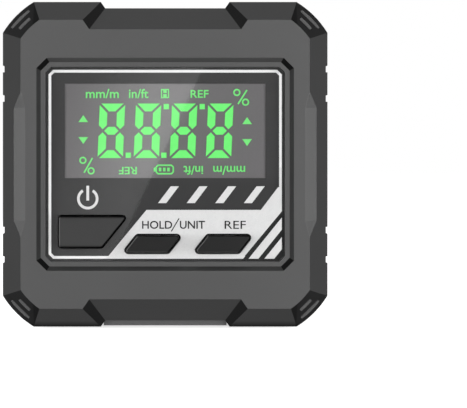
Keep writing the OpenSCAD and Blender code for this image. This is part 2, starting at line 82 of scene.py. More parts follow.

# Tones, painted highlight greys and glosses
POWER_HIGHLIGHT_GREY = (0.075, 0.075, 0.075)
SMALL_HIGHLIGHT_GREY = (0.12, 0.12, 0.12)
BEZEL_PAINTED_LIGHT_GREY = (0.045, 0.045, 0.045)
WHITE_SHARE = 0.06
HOUSING_GLOSS = 0.37
HOUSING_SHINE = 0.85
LENS_REFLECTION = 0.016
LENS_RIM_REFLECTION = 0.9
SEGMENT_GLOW = 0.64
SEGMENT_BODY = 0.6

# Fine gaps, in metres
WELD_GAP = 0.000002
HAIR_GAP = 0.000012

# Words and signs
DISPLAY_WORD_WEIGHT = 0.015
RING_PIECES = 20

# Stage, in metres, and the camera's frame
FLOOR = -0.00002
FLOOR_REACH = 6.0
CARD_DEPTH = -0.5
CARD_LEAN = 0.27
SENSOR_WIDTH = 36.0
CAMERA_SHIFT = (0.1463, -0.085)


def colour_property(name, description, default):
    """A colour that a user may change in the sidebar."""
    return FloatVectorProperty(
        name=name, description=description, default=default, subtype="COLOR", size=3, min=0.0, max=1.0
    )


def length_property(name, description, default):
    """A length that a user may change in the sidebar."""
    return FloatProperty(
        name=name,
        description=description,
        default=default,
        min=0.0,
        precision=5,
        subtype="DISTANCE",
        unit="LENGTH",
    )


def brightness_property(name, description, default):
    """A light's brightness that a user may change in the sidebar."""
    return FloatProperty(name=name, description=description, default=default, min=0.0)


class GaugeColours(bpy.types.PropertyGroup):
    """Colours of the gauge's finishes."""

    housing: colour_property("Housing", "Moulded housing and battery door", (0.020, 0.020, 0.0203))
    film: colour_property("Dark film", "Dark ink behind the lens", (0.046, 0.046, 0.0465))
    ink: colour_property("White ink", "White border, field and stripes", (0.80, 0.80, 0.80))
    label: colour_property("Label ink", "Words on the white field", (0.02, 0.02, 0.02))
    display: colour_property("Display", "Resting tone of the display", (0.155, 0.150, 0.154))
    lit: colour_property("Lit digits", "Light of the digits and their dots", (0.136, 0.735, 0.154))
    arrows: colour_property("Lit arrows", "Light of the arrows beside the digits", (0.165, 0.58, 0.180))
    words: colour_property("Lit words", "Light of the small words and signs", (0.145, 0.64, 0.165))
    power_button: colour_property("Power button", "Large button", (0.017, 0.017, 0.017))
    small_button: colour_property("Small buttons", "Hold and reference buttons", (0.007, 0.007, 0.007))
    jacket: colour_property("Cell jacket", "Wrap of the two cells", (0.03, 0.10, 0.22))
    mask: colour_property("Board", "Coating of the circuit board", (0.012, 0.075, 0.03))


class GaugeSizes(bpy.types.PropertyGroup):
    """Edge roundings of the gauge."""

    housing_edge: length_property("Housing edge", "Rounding of the housing's edges", 0.00022)
    power_edge: length_property("Power button edge", "Rounding of the large button's edges", 0.0006)
    button_edge: length_property("Button edge", "Rounding of the small buttons' edges", 0.00035)
    plate_edge: length_property("Plate edge", "Rounding of the base plate's edges", 0.00012)


class GaugeStudio(bpy.types.PropertyGroup):
    """Camera and lights of the studio."""

    distance: length_property("Camera distance", "From the camera to the widest outline", 0.380)
    focal_length: FloatProperty(
        name="Focal length", description="Lens in millimetres", default=148.6, min=1.0, unit="CAMERA"
    )
    front: brightness_property("Front panels", "Brightness of the light panels", 3.3)
    side: brightness_property("Side strips", "Brightness of the two strips", 8.4)
    fill: brightness_property("Fill panels", "Brightness of the lights round the rim", 0.75)
    rear: brightness_property("Rear panels", "Brightness of the two lights behind", 2.7)
    sheen: brightness_property("Sheen card", "Brightness of the card seen in the lens", 1.15)


class Signal:
    """A shader socket that takes part in Python arithmetic."""

    def __init__(self, finish, socket):
        self.finish = finish
        self.socket = socket

    def _math(self, operation, first, second):
        return self.finish.node("ShaderNodeMath", {"operation": operation}, {0: first, 1: second})

    def __add__(self, other):
        return self._math("ADD", self, other)

    __radd__ = __add__

    def __sub__(self, other):
        return self._math("SUBTRACT", self, other)

    def __rsub__(self, other):
        return self._math("SUBTRACT", other, self)

    def __mul__(self, other):
        return self._math("MULTIPLY", self, other)

    __rmul__ = __mul__

    def __pow__(self, other):
        return self._math("POWER", self, other)

    def __neg__(self):
        return self._math("MULTIPLY", self, -1.0)

    def __abs__(self):
        return self.finish.node("ShaderNodeMath", {"operation": "ABSOLUTE"}, {0: self})

    def most(self, other):
        """The larger of two values."""
        return self._math("MAXIMUM", self, other)

    def scaled(self, factors):
        """A place stretched along its axes."""
        return self.finish.node("ShaderNodeVectorMath", {"operation": "MULTIPLY"}, {0: self, 1: factors})

    def part(self, axis):
        """One coordinate of a place."""
        return self.finish.node("ShaderNodeSeparateXYZ", {}, {0: self}, axis)

    def band(self, low, high):
        """Rises smoothly from 0 at low to 1 at high."""
        return self.finish.node(
            "ShaderNodeMapRange",
            {"interpolation_type": "SMOOTHSTEP"},
            {0: self, 1: low, 2: high, 3: 0.0, 4: 1.0},
        )

    def between(self, first, second):
        """Colour that goes from first to second as this value goes from 0 to 1."""
        return self.finish.node(
            "ShaderNodeMix",
            {"data_type": "RGBA"},
            {0: self, 6: self.finish.rgba(first), 7: self.finish.rgba(second)},
            2,
        )


class Finish:
    """One material, made of nodes around a single surface shader."""

    def __init__(self, name, **constants):
        self.material = bpy.data.materials.new(name)
        self.material.use_nodes = True
        self.tree = self.material.node_tree
        self.shader = self.tree.nodes["Principled BSDF"]
        for socket, value in constants.items():
            self.set(socket.replace("_", " ").title().replace("Ior", "IOR"), value)
        self.place = self.node("ShaderNodeTexCoord", {}, {}, "Object")

    @staticmethod
    def rgba(value):
        """A colour with its fourth part, or a signal as it is."""
        return value if isinstance(value, Signal) else (value[0], value[1], value[2], 1.0)

    def node(self, kind, settings, sockets, output=0):
        """Adds one node, sets it, feeds it and returns one of its outputs."""
        added = self.tree.nodes.new(kind)
        for key, value in settings.items():
            setattr(added, key, value)
        for key, value in sockets.items():
            self.feed(added.inputs[key], value)
        return Signal(self, added.outputs[output])

    def feed(self, socket, value):
        """Links a signal to a socket, or sets the socket's own value."""
        if isinstance(value, Signal):
            self.tree.links.new(value.socket, socket)
        else:
            socket.default_value = value

    def set(self, socket, value):
        """Feeds one socket of the surface shader."""
        if socket in ("Base Color", "Emission Color"):
            value = self.rgba(value)
        self.feed(self.shader.inputs[socket], value)

    def facing(self):
        """The way in which the surface faces."""
        return self.node("ShaderNodeTexCoord", {}, {}, "Normal")

    def noise(self, size, detail=2.0, place=None):
        """Cloudy value from 0 to 1 with lumps of about this size in metres."""
        return self.node(
            "ShaderNodeTexNoise",
            {"noise_dimensions": "3D"},
            {"Vector": place or self.place, "Scale": 1.0 / size, "Detail": detail, "Roughness": 0.55},
        )

    def bump(self, height, depth, strength):
        """Raises the surface by a value times a depth in metres."""
        relief = self.node(
            "ShaderNodeBump", {}, {"Strength": strength, "Distance": depth, "Height": height}
        )
        self.set("Normal", relief)


def shaded(colour, factor):
    """A colour made lighter or darker."""
    return tuple(min(1.0, part * factor) for part in colour)


def paler(colour):
    """A colour with a little white in it."""
    return tuple(WHITE_SHARE + (1.0 - WHITE_SHARE) * part for part in colour)


def moulded_plastic(name, colour, gloss, shine=0.5, shade=None, painted_light_rule=None, pale=None):
    """Finely grained moulded plastic, with painted shade (darker, less reflective) and painted light
    (paler) where a rule says so.
    """
    finish = Finish(name, specular_ior_level=shine)
    grain = finish.noise(0.00022, 3.0)
    cloud = finish.noise(0.009, 2.0)
    tone = cloud.between(shaded(colour, 0.92), shaded(colour, 1.08))
    if shade:
        # Painted shade: the rule's mask darkens the tone and dims the reflection through Metallic.
        painted_shade_mask = shade(finish)
        tone = painted_shade_mask.between(tone, shaded(colour, 0.3))
        finish.set("Metallic", painted_shade_mask)
    # Painted light: the rule's mask pales the tone towards the given grey.
    if painted_light_rule:
        tone = painted_light_rule(finish).between(tone, pale)
    finish.set("Base Color", tone)
    finish.set("Roughness", gloss + 0.14 * (grain - 0.5) + 0.05 * (cloud - 0.5))
    finish.bump(grain, 0.00002, 0.35)
    return finish.material


def facing_down(finish):
    """High where a wall or a rim faces down."""
    facing = finish.facing()
    level = 1.0 - abs(facing.part(0)).band(0.15, 0.3)
    return level * (-facing.part(2)).band(0.15, 0.45)


def housing_shade(finish):
    """Painted shade: high on the corner facets, on inner walls that face sideways, and along the foot of
    the front.
    """
    facing = finish.facing()
    across = abs(facing.part(0))
    upright = abs(facing.part(2))
    forward = (-facing.part(1)).band(0.3, 0.5)
    beside = abs(finish.place.part(0))
    above = abs(finish.place.part(2) - FRONT_MIDDLE * MM)
    fore = 1.0 - finish.place.part(1).band(*FRONT_DEPTH)
    inner = 1.0 - beside.band(*INNER_WIDTH)
    bezel = 1.0 - above.band(*BEZEL_HEIGHT)
    slanting = upright.band(0.35, 0.45)
    wall = across.band(0.30, 0.42) * inner * fore
    wall_shade_strength = WALL_SHADE + bezel * (BEZEL_SHADE + SLANT_SHADE * slanting)
    facet = across.band(0.2, 0.3) * upright.band(0.2, 0.3) * forward
    corner = beside.band(*CORNER_WIDTH) * above.band(*CORNER_HEIGHT)
    # Painted contact shade along the foot of the front, where it meets the floor.
    foot = fore * (1.0 - finish.place.part(2).band(*FOOT_HEIGHT))
    return (wall * wall_shade_strength).most(FOOT_SHADE * foot).most(FACET_SHADE * facet * corner)


def bezel_painted_light(finish):
    """Painted light: high on the level wall of the bezel above the lens, which faces down."""
    up = finish.place.part(2)
    return facing_down(finish) * up.band(*BEZEL_TOP_START) * (1.0 - up.band(*BEZEL_TOP_END))


def button_shade(finish):
    """Painted shade: high on the sides and on the rounded rim, except where the rim faces left."""
    facing = finish.facing()
    rim = 1.0 - (-facing.part(1)).band(0.82, 0.99)
    left = (-facing.part(0)).band(0.3, 0.6)
    return RIM_SHADE * rim * (1.0 - left)


def power_button_shade(finish):
    """Painted shade as on the other buttons, and fading inward from the upper, lower and right rims."""
    across = finish.place.part(0) - POWER_FOOT[0] * MM
    up = finish.place.part(2) - POWER_FOOT[1] * MM
    height = (POWER_TOP - POWER_FOOT[1]) * MM
    top = 1.0 - (height - up).band(*RIM_FADE)
    foot = 1.0 - up.band(*RIM_FADE)
    right = 1.0 - (POWER_SLANT[1] * up - POWER_SLANT[0] * across).band(*SLANT_FADE)
    return button_shade(finish).most(top).most(foot).most(right)


def small_button_shade(finish):
    """Painted shade as on the large button, but not where the rim faces down."""
    return button_shade(finish) * (1.0 - facing_down(finish))


def button_painted_highlight(finish):
    """Painted highlight: high on the part of a button's rim that faces left and forward."""
    left = -finish.facing().part(0)
    return left.band(0.12, 0.3) * (1.0 - left.band(0.6, 0.75))


def small_button_painted_highlight(finish):
    """Painted highlight as on the large button, and faintly where the rim faces down."""
    return button_painted_highlight(finish).most(LOWER_RIM_HIGHLIGHT * facing_down(finish))


def clear_lens():
    """Thin clear plastic that shows only the reflections of its flat faces."""
    finish = Finish("clear_lens", base_color=(1.0, 1.0, 1.0), metallic=1.0)
    cloud = finish.noise(0.012, 2.0)
    finish.set("Roughness", 0.012 + 0.016 * cloud)
    grazing = finish.node("ShaderNodeLayerWeight", {}, {"Blend": 0.5}, "Facing")
    flat = abs(finish.facing().part(1)).band(0.3, 0.6)
    finish.set("Alpha", flat * (LENS_REFLECTION + LENS_RIM_REFLECTION * grazing**5))
    return finish.material


def dark_film(colour):
    """Dark ink on the back of the lens, darker at the lower right and between the stripes."""
    finish = Finish("dark_film", specular_ior_level=0.1)
    grain = finish.noise(0.0003, 2.0)
    across = finish.place.part(0)
    up = finish.place.part(2)
    right = across.band(-0.0075, -0.0045) * (1.0 - up.band(0.027, 0.031))
    stripes = across.band(0.0148, 0.0152) * (1.0 - up.band(0.0228, 0.0230))
    tone = grain.between(shaded(colour, 0.9), shaded(colour, 1.1))
    tone = right.between(tone, shaded(colour, 0.83))
    finish.set("Base Color", stripes.between(tone, shaded(colour, 0.45)))
    finish.set("Roughness", 0.55 + 0.1 * grain)
    return finish.material


def white_ink(colour):
    """White ink with a fine grain on the field and a clean border, with painted light making it whiter at
    the sides, where the bezel walls shade it.
    """
    finish = Finish("white_ink", specular_ior_level=0.1)
    grain = finish.noise(0.00038, 3.0)
    across = finish.place.part(0)
    up = finish.place.part(2)
    beside = abs(across) - BORDER_INNER[0] * MM
    above = abs(up - FRONT_MIDDLE * MM) - BORDER_INNER[1] * MM
    over_field = up - FIELD_FOOT[1] * MM - FIELD_RISE * (across - FIELD_FOOT[0] * MM)
    sharp = (-0.00002, 0.00002)
    border = beside.most(above).band(*sharp) * over_field.band(-0.0002, 0.0002)
    field = grain.band(0.3, 0.7).between(shaded(colour, 0.825), shaded(colour, 0.865))
    # Painted light: the field is whiter near the sides, where the bezel walls shade it.
    field = abs(across).band(*FIELD_EDGE).between(field, shaded(colour, 1.08))
    # Painted light: the side border is whiter than the top and bottom border.
    border_with_painted_light = beside.band(*sharp).between(colour, shaded(colour, 1.2))
    finish.set("Base Color", border.between(field, border_with_painted_light))
    finish.set("Roughness", 0.5 + 0.2 * grain)
    finish.bump(grain, 0.000008, 0.3)
    return finish.material


def label_ink(colour):
    """Dark ink of the small words."""
    finish = Finish("label_ink", specular_ior_level=0.1)
    grain = finish.noise(0.0002, 2.0)
    finish.set("Base Color", grain.between(shaded(colour, 0.8), shaded(colour, 1.3)))
    finish.set("Roughness", 0.5 + 0.15 * grain)
    return finish.material


def display_glass(colour):
    """Front of the display, a soft grey with a fine mesh."""
    finish = Finish("display_glass", specular_ior_level=1.0)
    grain = finish.noise(0.00025, 2.0)
    cloud = finish.noise(0.010, 1.0)
    mesh = 0.7 * grain + 0.3 * cloud
    finish.set("Base Color", mesh.between(shaded(colour, 0.93), shaded(colour, 1.07)))
    finish.set("Roughness", 0.03 + 0.03 * grain)
    return finish.material


def lit_segment(name, colour, beside):
    """Glowing display segments, a little paler in places, with another tone beside the digits."""
    finish = Finish(name, roughness=0.045, specular_ior_level=0.5, emission_strength=SEGMENT_GLOW)
    finish.set("Base Color", shaded(colour, SEGMENT_BODY))
    cloud = finish.noise(0.0012, 1.0)
    away = abs(finish.place.part(0)).band(*BESIDE_DIGITS)
    low = away.between(shaded(colour, 0.94), shaded(beside, 0.94))
    high = away.between(paler(colour), paler(beside))
    finish.set("Emission Color", cloud.between(low, high))
    return finish.material


def light_guide():
    """Milky light guide behind the display."""
    finish = Finish("light_guide", base_color=(0.75, 0.78, 0.76))
    cloud = finish.noise(0.004, 2.0)
    finish.set("Roughness", 0.3 + 0.15 * cloud)
    return finish.material


def soft_strip():
    """Soft strip with fine conducting layers across it."""
    finish = Finish("soft_strip", roughness=0.7)
    layers = finish.node(
        "ShaderNodeTexWave",
        {"bands_direction": "X"},
        {"Vector": finish.place, "Scale": 800.0, "Distortion": 0.0},
    )
    finish.set("Base Color", layers.band(0.35, 0.65).between((0.62, 0.28, 0.30), (0.03, 0.03, 0.03)))
    return finish.material


def coated_board(colour):
    """Coated circuit board with faint copper runs under the coating."""
    finish = Finish("coated_board")
    runs = finish.node(
        "ShaderNodeTexBrick",
        {"offset": 0.5},
        {"Vector": finish.place, "Scale": 380.0, "Mortar Size": 0.03},
        1,
    )
    cloud = finish.noise(0.006, 2.0)
    finish.set("Base Color", (0.6 * runs + 0.4 * cloud).between(shaded(colour, 1.4), shaded(colour, 0.8)))
    finish.set("Roughness", 0.32 + 0.1 * cloud)
    finish.bump(runs, 0.00002, 0.4)
    return finish.material


def chip_black():
    """Dull black chip package."""
    finish = Finish("chip_black")
    grain = finish.noise(0.00015, 3.0)
    finish.set("Base Color", grain.between((0.012, 0.012, 0.013), (0.03, 0.03, 0.031)))
    finish.set("Roughness", 0.55 + 0.2 * grain)
    finish.bump(grain, 0.00001, 0.4)
    return finish.material


def cell_jacket(colour):
    """Printed wrap of a cell, with a pale band near its positive end."""
    finish = Finish("cell_jacket", metallic=0.2, coat_weight=0.4)
    cloud = finish.noise(0.003, 2.0)
    along = finish.place.part(0)
    edge = along.band(0.0088, 0.0090) - along.band(0.0150, 0.0152)
    finish.set("Base Color", edge.between(colour, (0.55, 0.56, 0.58)))
    finish.set("Roughness", 0.28 + 0.12 * cloud)
    return finish.material


def plated_metal(name, colour, size, stretch, gloss):
    """Metal with fine lines or marks drawn along one way."""
    finish = Finish(name, metallic=1.0)
    lines = finish.noise(size, 3.0, finish.place.scaled(stretch))
    cloud = finish.noise(0.005, 2.0)
    finish.set("Base Color", (0.6 * lines + 0.4 * cloud).between(shaded(colour, 0.85), shaded(colour, 1.1)))
    finish.set("Roughness", gloss + 0.16 * (lines - 0.5))
    finish.bump(lines, 0.000006, 0.4)
    return finish.material


def dress(material, *nodes):
    """Gives the solids of the frame their finish."""
    for name in nodes:
        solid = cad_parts[name]
        solid.data.materials.clear()
        solid.data.materials.append(material)


def round_edges(width, segments, turn, *nodes):
    """Rounds for the eye the edges of the solids that turn by more than an angle in degrees."""
    for name in nodes:
        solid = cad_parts[name]
        weld = solid.modifiers.new("weld", "WELD")
        weld.merge_threshold = WELD_GAP
        flat = solid.modifiers.new("flat faces", "DECIMATE")
        flat.decimate_type = "DISSOLVE"
        flat.angle_limit = math.radians(0.4)
        bevel = solid.modifiers.new("edge rounding", "BEVEL")
        bevel.width = width
        bevel.segments = segments
        bevel.limit_method = "ANGLE"
        bevel.angle_limit = math.radians(turn)
        bevel.use_clamp_overlap = True
        level = solid.modifiers.new("level faces", "WEIGHTED_NORMAL")
        level.weight = 90


def part_faces(node):
    """Draws a solid's skin in by a hair, so that it shares no face with the solid behind it."""
    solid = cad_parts[node]
    weld = solid.modifiers.new("weld", "WELD")
    weld.merge_threshold = WELD_GAP
    inset = solid.modifiers.new("hair gap", "DISPLACE")
    inset.mid_level = 0.0
    inset.strength = -HAIR_GAP


def add_piece(name, mesh, material):
    """Links a finished mesh to the gauge's body."""
    mesh.materials.clear()
    mesh.materials.append(material)
    piece = bpy.data.objects.new(name, mesh)
    bpy.context.scene.collection.objects.link(piece)
    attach(piece, "body")


def word_mesh(name, words, span, depth, weight, turned=False):
    """Upright words that fill a span (left, right, bottom, top) in millimetres."""
    curve = bpy.data.curves.new(name, "FONT")
    curve.body = words
    curve.extrude = 0.5
    curve.offset = weight
    curve.resolution_u = 4
    carrier = bpy.data.objects.new(name, curve)
    bpy.context.scene.collection.objects.link(carrier)
    mesh = bpy.data.meshes.new_from_object(carrier.evaluated_get(bpy.context.evaluated_depsgraph_get()))
    bpy.data.objects.remove(carrier)
    left, right, bottom, top = span
    lows = [min(v.co[i] for v in mesh.vertices) for i in range(3)]
    highs = [max(v.co[i] for v in mesh.vertices) for i in range(3)]
    for vertex in mesh.vertices:
        along, up, out = [(vertex.co[i] - lows[i]) / (highs[i] - lows[i]) for i in range(3)]
        if turned:
            along, up = 1.0 - along, 1.0 - up
        x = left + along * (right - left)
        y = depth[1] + out * (depth[0] - depth[1])
        z = bottom + up * (top - bottom)
        vertex.co = Vector((x, y, z)) * MM
    mesh.update()
    return mesh


def outline_mesh(name, outlines, depth):
    """Flat signs from outlines in millimetres, given anticlockwise as seen from the front."""
    work = bmesh.new()
    for outline in outlines:
        front = [work.verts.new(Vector((x, depth[0], z)) * MM) for x, z in outline]
        back = [work.verts.new(Vector((x, depth[1], z)) * MM) for x, z in outline]
        work.faces.new(front)
        work.faces.new(back[::-1])
        for i in range(len(outline)):
            j = (i + 1) % len(outline)
            work.faces.new((front[j], front[i], back[i], back[j]))
    bmesh.ops.triangulate(work, faces=work.faces[:])
    mesh = bpy.data.meshes.new(name)
    work.to_mesh(mesh)
    work.free()
    return mesh


def rectangle(left, right, bottom, top):
    """Outline of a rectangle."""
    return [(left, bottom), (right, bottom), (right, top), (left, top)]


def stroke(start, end, width):
    """Outline of a straight stroke."""
    first = Vector(start)
    last = Vector(end)
    along = (last - first).normalized()
    side = Vector((-along.y, along.x)) * width / 2
    return [tuple(corner) for corner in (first - side, last - side, last + side, first + side)]


def on_circle(centre, radius, turn):
    """Point of a circle at a turn in radians."""
    return (centre[0] + radius * math.cos(turn), centre[1] + radius * math.sin(turn))


def ring(centre, outer, inner):
    """Outlines of a ring, one per piece of its rim."""
    turns = [2 * math.pi * i / RING_PIECES for i in range(RING_PIECES + 1)]
    return [
        [
            on_circle(centre, inner, start),
            on_circle(centre, outer, start),
            on_circle(centre, outer, end),
            on_circle(centre, inner, end),
        ]
        for start, end in zip(turns, turns[1:])
    ]


def percent_sign(left, right, bottom, top):
    """Two rings and a stroke that fill a span."""
    radius = 0.72
    rim = 0.3
    first = (left + radius, top - radius)
    second = (right - radius, bottom + radius)
    slash = stroke((left + 0.95, bottom + 0.35), (right - 0.45, top - 0.25), rim)
    return ring(first, radius, radius - rim) + ring(second, radius, radius - rim) + [slash]


def hold_sign(left, right, bottom, top):
    """A lit box with a dark letter left open in it."""
    rim = 0.22
    leg = 0.22
    middle = (bottom + top) / 2
    inner = (left + rim + leg, right - rim - leg)
    return [
        rectangle(left, left + rim, bottom, top),
        rectangle(right - rim, right, bottom, top),
        rectangle(left + rim, right - rim, bottom, bottom + rim),
        rectangle(left + rim, right - rim, top - rim, top),
        rectangle(inner[0], inner[1], bottom + rim, middle - leg / 2),
        rectangle(inner[0], inner[1], middle + leg / 2, top - rim),
    ]


def cell_sign(left, right, bottom, top):
    """Outline of a cell with three charge bars."""
    rim = 0.3
    cut = 0.45
    lap = 0.05
    nub = 0.35
    bar_start = 0.65
    bar_end = 1.15
    bar_pitch = 0.82
    bar_reach = 0.36
    shell = left + nub
    middle = (bottom + top) / 2
    nub_reach = (top - bottom) * 0.2
    bars = []
    for i in range(3):
        place = shell + i * bar_pitch
        bars.append(rectangle(place + bar_start, place + bar_end, middle - bar_reach, middle + bar_reach))
    return bars + [
        rectangle(shell + cut, right - cut, top - rim, top),
        rectangle(shell + cut, right - cut, bottom, bottom + rim),
        rectangle(right - rim, right, bottom + cut, top - cut),
        rectangle(shell, shell + rim, bottom + cut, top - cut),
        rectangle(left, shell, middle - nub_reach, middle + nub_reach),
        stroke((right - cut - lap, top - rim / 2), (right - rim / 2, top - cut - lap), rim),
        stroke((right - rim / 2, bottom + cut + lap), (right - cut - lap, bottom + rim / 2), rim),
        stroke((shell + rim / 2, top - cut - lap), (shell + cut + lap, top - rim / 2), rim),
        stroke((shell + cut + lap, bottom + rim / 2), (shell + rim / 2, bottom + cut + lap), rim),
    ]


class FinishHousing(bpy.types.Operator):
    """Give the housing halves and the battery door their moulded finish"""

    bl_idname = "gauge.finish_housing"
    bl_label = "Finish Housing"
    bl_options = {"REGISTER", "UNDO"}

    def execute(self, context):
        colours = context.scene.gauge_colours
        sizes = context.scene.gauge_sizes
        # The front housing's plastic carries painted shade on its facets, inner walls and foot, and painted
        # light on the bezel's upper wall.
        front = moulded_plastic(
            "front_plastic",
            colours.housing,
            gloss=HOUSING_GLOSS,
            shine=HOUSING_SHINE,
            shade=housing_shade,
            painted_light_rule=bezel_painted_light,
            pale=BEZEL_PAINTED_LIGHT_GREY,
        )
        rear = moulded_plastic("rear_plastic", colours.housing, HOUSING_GLOSS, HOUSING_SHINE)
        dress(front, "front_housing")
        dress(rear, "rear_housing", "battery_door")
        round_edges(sizes.housing_edge, 2, 9.0, "front_housing", "rear_housing", "battery_door")
        return {"FINISHED"}


class FinishPanel(bpy.types.Operator):
    """Give the lens, the dark film and the white print their finishes"""

    bl_idname = "gauge.finish_panel"
    bl_label = "Finish Front Panel"
    bl_options = {"REGISTER", "UNDO"}

    def execute(self, context):
        colours = context.scene.gauge_colours
        dress(clear_lens(), "lens_panel")
        part_faces("lens_panel")
        dress(dark_film(colours.film), "panel_film")
        dress(white_ink(colours.ink), "panel_print")
        return {"FINISHED"}


class FinishDisplay(bpy.types.Operator):
    """Give the display and its light their finishes"""

    bl_idname = "gauge.finish_display"
    bl_label = "Finish Display"
    bl_options = {"REGISTER", "UNDO"}

    def execute(self, context):
        colours = context.scene.gauge_colours
        dress(display_glass(colours.display), "lcd_glass")
        dress(lit_segment("lit_segment", colours.lit, colours.arrows), "lcd_segments")
        dress(light_guide(), "backlight")
        dress(moulded_plastic("pale_plastic", (0.55, 0.55, 0.53), 0.5), "lcd_frame")
        dress(soft_strip(), "contact_strip")
        return {"FINISHED"}


class FinishButtons(bpy.types.Operator):
    """Give the three buttons their finishes and rounded edges"""

    bl_idname = "gauge.finish_buttons"
    bl_label = "Finish Buttons"
    bl_options = {"REGISTER", "UNDO"}

    def execute(self, context):
        colours = context.scene.gauge_colours
        sizes = context.scene.gauge_sizes
        # The buttons' plastics carry painted shade on their rims and painted highlights where the rims face
        # left or down.
        large = moulded_plastic(
            "power_button_plastic",
            colours.power_button,
            gloss=0.45,
            shine=0.4,
            shade=power_button_shade,
            painted_light_rule=button_painted_highlight,
            pale=POWER_HIGHLIGHT_GREY,
        )
        small = moulded_plastic(
            "small_button_plastic",
            colours.small_button,
            gloss=0.40,
            shine=0.2,
            shade=small_button_shade,
            painted_light_rule=small_button_painted_highlight,
            pale=SMALL_HIGHLIGHT_GREY,
        )
        dress(large, "power_button")
        dress(small, "hold_button", "ref_button")
        round_edges(sizes.power_edge, 5, 40.0, "power_button")
        round_edges(sizes.button_edge, 4, 40.0, "hold_button", "ref_button")
        return {"FINISHED"}


class FinishElectronics(bpy.types.Operator):
    """Give the board, its chips and its key switches their finishes"""

    bl_idname = "gauge.finish_electronics"
    bl_label = "Finish Electronics"
    bl_options = {"REGISTER", "UNDO"}

    def execute(self, context):
        colours = context.scene.gauge_colours
        dress(coated_board(colours.mask), "circuit_board")
        dress(chip_black(), "controller_chip", "tilt_sensor", "power_switch", "hold_switch", "ref_switch")
        plunger = moulded_plastic("plunger_plastic", (0.45, 0.44, 0.41), 0.45)
        dress(plunger, "power_plunger", "hold_plunger", "ref_plunger")
        return {"FINISHED"}


class FinishBattery(bpy.types.Operator):
    """Give the cells and their contacts their finishes"""

    bl_idname = "gauge.finish_battery"
    bl_label = "Finish Battery"
    bl_options = {"REGISTER", "UNDO"}

    def execute(self, context):
        colours = context.scene.gauge_colours
        dress(cell_jacket(colours.jacket), "upper_cell", "lower_cell")
        contact = plated_metal("contact_metal", (0.62, 0.60, 0.56), 0.0004, (1.0, 1.0, 0.1), 0.3)
        dress(contact, "bridge_contact", "positive_contact", "negative_contact")
        return {"FINISHED"}


class FinishBase(bpy.types.Operator):
    """Give the base plate, the magnets and the screws their metal finishes"""

    bl_idname = "gauge.finish_base"
    bl_label = "Finish Base and Screws"
    bl_options = {"REGISTER", "UNDO"}

    def execute(self, context):
        sizes = context.scene.gauge_sizes
        base = plated_metal("base_metal", (0.105, 0.105, 0.107), 0.0003, (0.05, 1.0, 1.0), 0.38)
        magnet = plated_metal("magnet_plating", (0.34, 0.335, 0.325), 0.0006, (1.0, 1.0, 1.0), 0.42)
        screw = plated_metal("screw_metal", (0.22, 0.22, 0.23), 0.0003, (1.0, 0.2, 1.0), 0.35)
        dress(base, "base_plate")
        dress(magnet, "base_magnets", "back_magnets")
        dress(screw, "housing_screws", "board_screws")
        round_edges(sizes.plate_edge, 2, 30.0, "base_plate")
        return {"FINISHED"}


class AddLabels(bpy.types.Operator):
    """Add the words on the white field over the two small buttons"""

    bl_idname = "gauge.add_labels"
    bl_label = "Add Button Labels"
    bl_options = {"REGISTER", "UNDO"}

    def execute(self, context):
        ink = label_ink(context.scene.gauge_colours.label)
        words = {
            "label_hold": ("HOLD", (-4.52, 1.38, 19.36, 20.93), 0.012),
            "label_unit": ("UNIT", (2.88, 7.80, 19.36, 20.93), 0.012),
            "label_ref": ("REF", (11.64, 15.79, 19.36, 20.93), 0.002),
        }
        for name, (text, span, weight) in words.items():
            add_piece(name, word_mesh(name, text, span, INK_DEPTH, weight), ink)
        slash = outline_mesh("label_slash", [stroke((1.2, 18.86), (2.72, 21.42), 0.2)], INK_DEPTH)
        add_piece("label_slash", slash, ink)
        return {"FINISHED"}


class AddDisplayWords(bpy.types.Operator):
    """Add the lit unit words and signs above and below the digits"""

    bl_idname = "gauge.add_display_words"
    bl_label = "Add Display Words"
    bl_options = {"REGISTER", "UNDO"}

    def execute(self, context):
        colours = context.scene.gauge_colours
        glow = lit_segment("lit_word", colours.words, colours.words)
        words = {
            "upper_slope_unit": ("mm/m", (-15.55, -9.07, 44.95, 46.75), False),
            "upper_pitch_unit": ("in/ft", (-7.11, -3.28, 44.95, 46.75), False),
            "upper_ref": ("REF", (4.97, 8.50, 45.02, 46.55), False),
            "lower_ref": ("REF", (-9.07, -5.54, 30.05, 31.50), True),
            "lower_pitch_unit": ("in/ft", (3.59, 7.42, 29.95, 31.70), True),
            "lower_slope_unit": ("mm/m", (9.39, 15.67, 29.95, 31.70), True),
        }
        for name, (text, span, turned) in words.items():
            mesh = word_mesh(name, text, span, DISPLAY_DEPTH, DISPLAY_WORD_WEIGHT, turned)
            add_piece(name, mesh, glow)
        signs = {
            "upper_percent": percent_sign(13.32, 16.46, 43.45, 46.79),
            "lower_percent": percent_sign(-16.83, -13.79, 30.0, 33.5),
            "upper_hold": hold_sign(-0.82, 0.75, 44.95, 46.75),
            "lower_cell_sign": cell_sign(-2.25, 1.73, 30.0, 31.97),
        }
        for name, outlines in signs.items():
            add_piece(name, outline_mesh(name, outlines, DISPLAY_DEPTH), glow)
        return {"FINISHED"}


def stage_plane(name, corners, material):
    """A flat stage piece through four corners in metres."""
    mesh = bpy.data.meshes.new(name)
    mesh.from_pydata([Vector(c) for c in corners], [], [(0, 1, 2, 3)])
    mesh.materials.append(material)
    plane = bpy.data.objects.new(name, mesh)
    bpy.context.scene.collection.objects.link(plane)
    return plane


def stage_light(name, place, aim, size, brightness):
    """A soft rectangular light of even brightness that looks at a point."""
    data = bpy.data.lights.new(name, "AREA")
    data.shape = "RECTANGLE"
    data.size, data.size_y = size
    data.energy = brightness * math.pi * size[0] * size[1]
    lamp = bpy.data.objects.new(name, data)
    lamp.location = place
    lamp.rotation_euler = (Vector(aim) - Vector(place)).to_track_quat("-Z", "Y").to_euler()
    bpy.context.scene.collection.objects.link(lamp)


